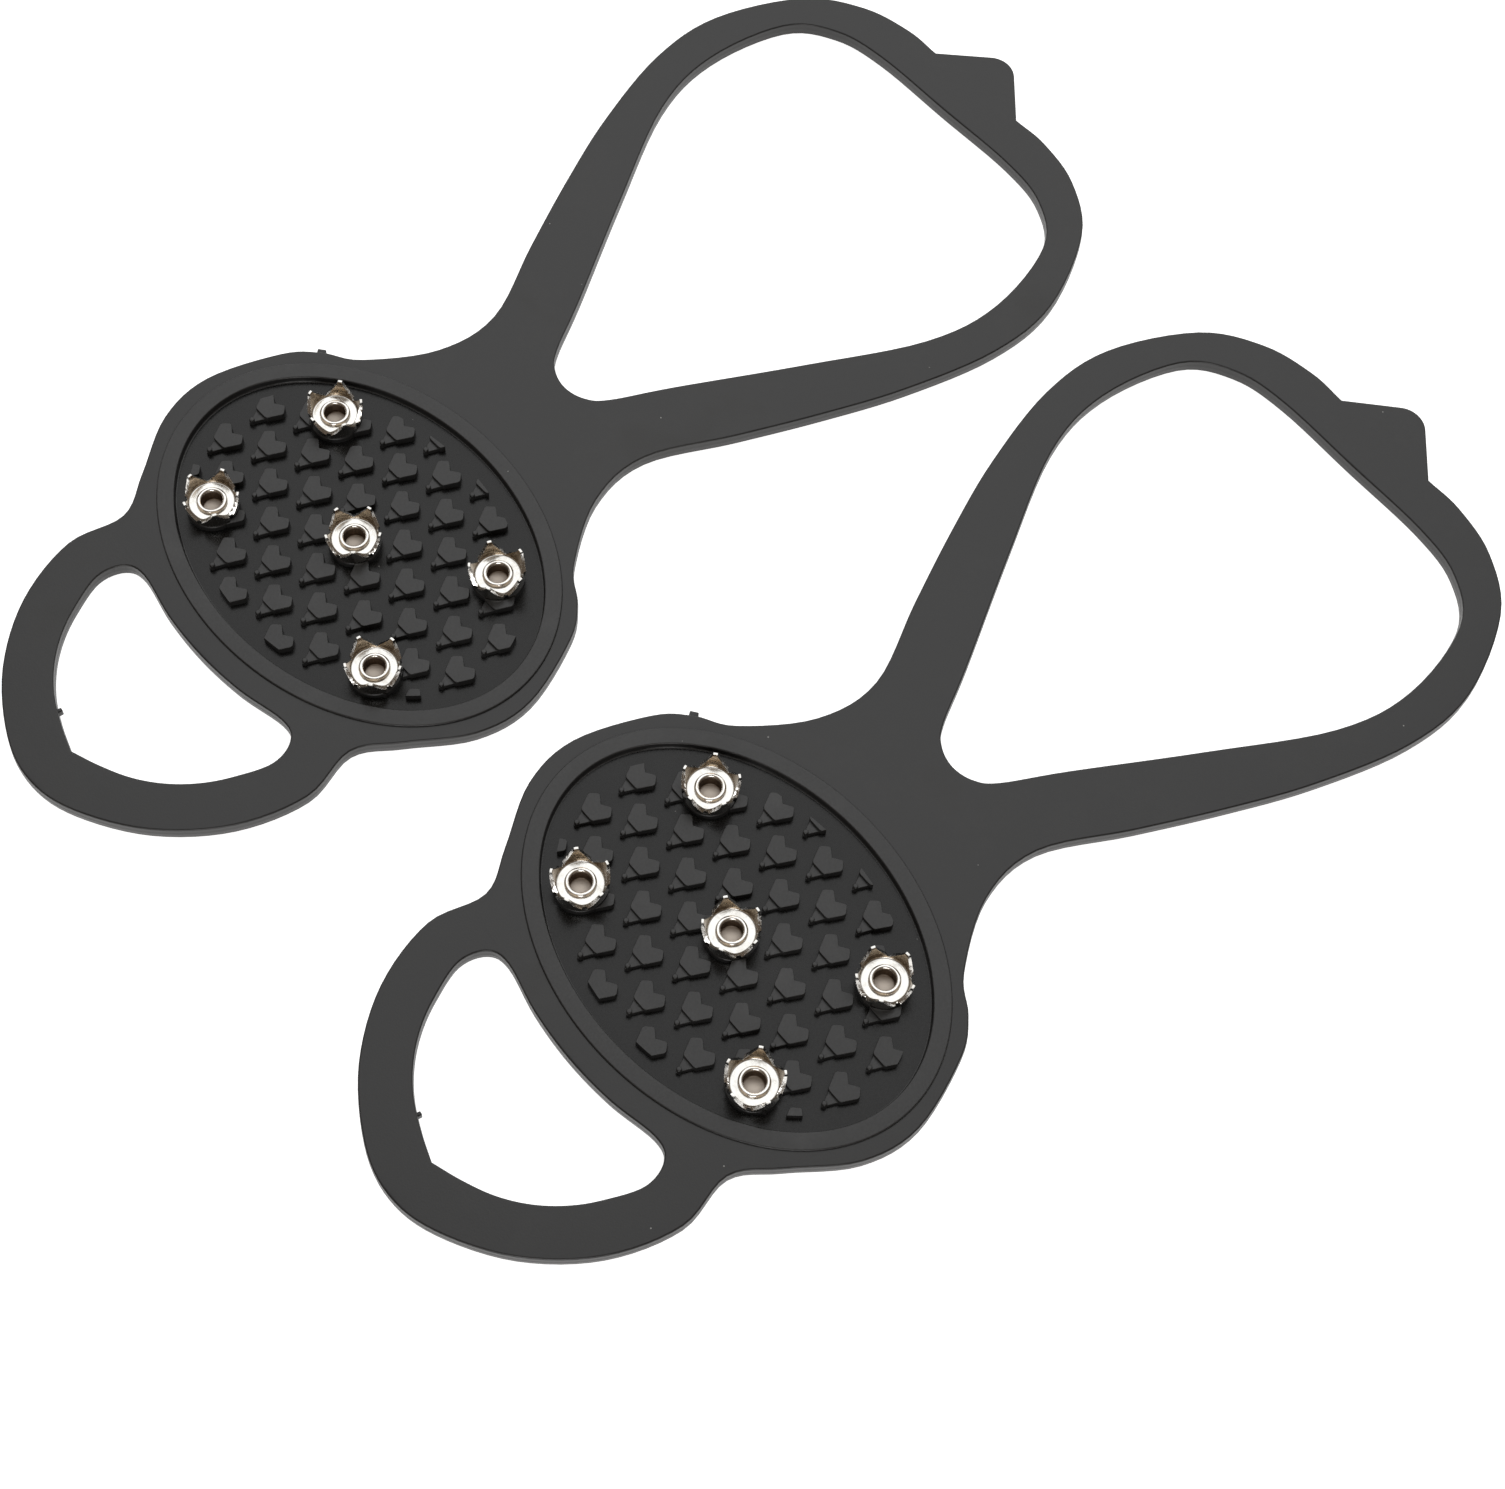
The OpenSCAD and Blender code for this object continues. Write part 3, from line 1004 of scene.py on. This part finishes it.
rubber = rubber_material("rubber", (0.009, 0.009, 0.009), (0.024, 0.024, 0.023), 0.38, 0.50, 0.015 * MM)
tread_rubber = tread_material("tread_rubber", (0.017, 0.017, 0.017), (0.030, 0.030, 0.030), 0.34, 0.5)
# The sunken floor's darker colour is painted shade between the hearts. Its lower roughness is the
# mould's polish.
painted_shade_floor_rubber = tread_material("painted_shade_floor_rubber", (0.006, 0.006, 0.006), (0.010, 0.010, 0.010), 0.22, 0.3)

# %% [markdown]
# ## The steel
#
# The crowns are nickel plated: very bright, with faint stamping marks. The rivet is a duller
# plated steel, and below its roll the hollow is browner, darker and rougher, and paler at its bottom.
# The inside of a crown's wall gets a darker, browner copy of the nickel, a painted reflection of the
# dark surroundings, so it has a material of its own.

# %% Build the steel materials
def crown_material(name, plain_or_reflection_tone, worn_or_reflection_tone):
    material, tree, shader = new_material(name)
    patches = use_group(tree, bloom, Scale=300.0)
    shade = mix_colour(tree, patches.outputs["Mask"], plain_or_reflection_tone, worn_or_reflection_tone)
    tree.links.new(shade, shader.inputs["Base Color"])
    shader.inputs["Metallic"].default_value = 1.0
    rough = remap(tree, patches.outputs["Fine"], 0.3, 0.7, 0.14, 0.26)
    tree.links.new(rough, shader.inputs["Roughness"])
    bump(tree, shader, patches.outputs["Fine"], 0.01 * MM)
    return material


def rivet_material():
    material, tree, shader = new_material("rivet_steel")
    patches = use_group(tree, bloom, Scale=420.0)
    place = tree.nodes.new("ShaderNodeTexCoord").outputs["Object"]
    split = tree.nodes.new("ShaderNodeSeparateXYZ")
    tree.links.new(place, split.inputs[0])
    # Below the roll the hollow turns browner, darker and rougher, and paler again at its bottom.
    deep = remap(tree, split.outputs["Z"], roll_z - 0.35 * MM, roll_z, 1.0, 0.0)
    bright = mix_colour(tree, patches.outputs["Mask"], (0.82, 0.80, 0.76), (0.66, 0.62, 0.56))
    bottom = remap(tree, split.outputs["Z"], hollow_z + 0.1 * MM, hollow_z + 0.4 * MM, 1.0, 0.0)
    hollow_tone = mix_colour(tree, bottom, (0.22, 0.17, 0.13), (0.50, 0.44, 0.38))
    tree.links.new(mix_colour(tree, deep, bright, hollow_tone), shader.inputs["Base Color"])
    shader.inputs["Metallic"].default_value = 1.0
    tree.links.new(remap(tree, deep, 0.0, 1.0, 0.2, 0.42), shader.inputs["Roughness"])
    bump(tree, shader, patches.outputs["Fine"], 0.01 * MM)
    return material


nickel = crown_material("crown_nickel", (0.68, 0.67, 0.64), (0.50, 0.48, 0.44))
# This darker brown copy is a painted reflection on the inside of the teeth.
painted_reflection_nickel = crown_material("crown_wall_painted_reflection", (0.42, 0.34, 0.25), (0.22, 0.16, 0.11))
rivet_steel = rivet_material()

# %% [markdown]
# ## Place every piece
#
# The models become meshes of both cleats now. Every copy gets its own mesh, moved to its
# place, so that each finished object itself stays at the origin. A crown's turn is read
# from the tips of its CAD teeth.

# %% Copy, place and tell the frame
for model in (pad, front_rubber, rear_rubber, crown, rivet):
    finish_normals(model)


def placed(model, name, matrix, material):
    obj = bpy.data.objects.new(name, model.data.copy())
    obj.data.name = name
    bpy.context.scene.collection.objects.link(obj)
    obj.data.transform(matrix)
    obj.data.materials.clear()
    obj.data.materials.append(material)
    return obj


def tooth_turn(node, centre):
    """The direction of one tooth of a CAD crown, seen from its centre."""
    points = [v.co for v in frame["nodes"][node].data.vertices]
    top = max(p.z for p in points)
    tips = [p - centre for p in points if p.z > top - NEAR]
    wave = [teeth * math.atan2(p.y, p.x) for p in tips]
    return math.atan2(sum(map(math.sin, wave)), sum(map(math.cos, wave))) / teeth


def inside_wall(face, centre):
    """Whether a crown's face lies above its floor and looks towards its axis."""
    inward = Vector((centre.x - face.center.x, centre.y - face.center.y, 0)).normalized()
    above = face.center.z > boss_top + crown_t + 0.15 * MM
    return above and face.normal.dot(inward) > 0.6


for side in SIDES:
    sole = f"{side}_sole"
    place = placing[side]
    tread_pad = placed(pad, f"{side}_tread_pad", place, tread_rubber)
    tread_pad.data.materials.append(painted_shade_floor_rubber)
    # Faces on the sunken floor get the darker copy, which is painted shade between the hearts.
    for face in tread_pad.data.polygons:
        face.material_index = int(abs(face.center.z - floor_t) < NEAR)
    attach(tread_pad, sole)
    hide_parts(sole)
    for model, loop, (start, end) in (
            (front_rubber, "toe_loop", toe_stretch), (rear_rubber, "heel_loop", heel_stretch)):
        body = f"{side}_{loop}"
        piece = placed(model, f"{side}_{model.name}", place, rubber)
        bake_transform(piece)
        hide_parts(body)
    for stud in STUDS:
        centre = stud_centre(side, stud)
        turn = tooth_turn(f"{side}_crown_{stud}", centre)
        at = Matrix.Translation(centre + Vector((0, 0, boss_top))) @ Matrix.Rotation(turn, 4, "Z")
        toothed = placed(crown, f"{side}_toothed_crown_{stud}", at, nickel)
        # Inward faces of the teeth take the painted reflection copy of the nickel.
        toothed.data.materials.append(painted_reflection_nickel)
        for face in toothed.data.polygons:
            face.material_index = int(inside_wall(face, centre))
        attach(toothed, sole)
        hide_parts(f"{side}_crown_{stud}")
        rolled = placed(rivet, f"{side}_rolled_rivet_{stud}", Matrix.Translation(centre), rivet_steel)
        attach(rolled, sole)
        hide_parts(f"{side}_rivet_{stud}")
for model in (pad, front_rubber, rear_rubber, crown, rivet):
    bpy.data.objects.remove(model)

# %% [markdown]
# ## Floor, light and camera
#
# The cleats lie on a plain white floor under soft light. The floor glows a little, so that
# it stays white and lights the rubber's walls from below, as a light table does.

# %% Floor
bpy.ops.mesh.primitive_plane_add(size=6, location=(0, 0, -0.05 * MM))
floor = take_new("floor")
floor_paint, _, floor_shader = new_material("floor_white")
floor_shader.inputs["Base Color"].default_value = (0.9, 0.9, 0.9, 1)
floor_shader.inputs["Roughness"].default_value = 0.9
floor_shader.inputs["Emission Color"].default_value = (1, 1, 1, 1)
floor_shader.inputs["Emission Strength"].default_value = 0.9
floor.data.materials.append(floor_paint)

# %% Light
aim = Vector((-25.66, 20.83, 0)) * MM
eye = Vector((-174.6, 178.94, 429.14)) * MM
away = Vector((aim.x - eye.x, aim.y - eye.y, 0)).normalized()

world = bpy.data.worlds.new("studio")
bpy.context.scene.world = world
world.use_nodes = True
sky = world.node_tree
toward = sky.nodes.new("ShaderNodeVectorMath")
toward.operation = "DOT_PRODUCT"
sky.links.new(sky.nodes.new("ShaderNodeTexCoord").outputs["Generated"], toward.inputs[0])
toward.inputs[1].default_value = (away.x * 0.7, away.y * 0.7, 0.7)
bright = remap(sky, toward.outputs["Value"], 0.35, 0.95)
sky.links.new(
    mix_colour(sky, bright, (0.13, 0.10, 0.075), (1.0, 1.0, 1.0)),
    sky.nodes["Background"].inputs["Color"])


def area_light(name, place, aim_at, size, power):
    lamp = bpy.data.lights.new(name, "AREA")
    lamp.shape = "SQUARE"
    lamp.size = size
    lamp.energy = power
    obj = bpy.data.objects.new(name, lamp)
    bpy.context.scene.collection.objects.link(obj)
    obj.location = place
    obj.rotation_euler = (Vector(aim_at) - Vector(place)).to_track_quat("-Z", "Y").to_euler()
    return obj


area_light("key_softbox", aim + away * 1.0 + Vector((0, 0, 1.7)), aim, size=1.8, power=6.3)
area_light("fill_softbox", aim - away * 1.5 + Vector((0, 0, 0.7)), aim, size=0.8, power=9)

# %% [markdown]
# The camera looks down at the pair from beyond the toes. It is aimed with a tracking
# rotation and then rolled about its own axis.

# %% Camera
camera = bpy.data.objects.new("camera", bpy.data.cameras.new("camera"))
bpy.context.scene.collection.objects.link(camera)
camera.data.lens = 64.2
camera.data.sensor_width = 36
camera.data.clip_start = 0.01
camera.data.clip_end = 20
camera.location = eye
look = (aim - eye).to_track_quat("-Z", "Y").to_matrix()
camera.rotation_euler = (look @ Matrix.Rotation(math.radians(5.72), 3, "Z")).to_euler()
bpy.context.scene.camera = camera
bpy.context.scene.view_settings.view_transform = "Standard"
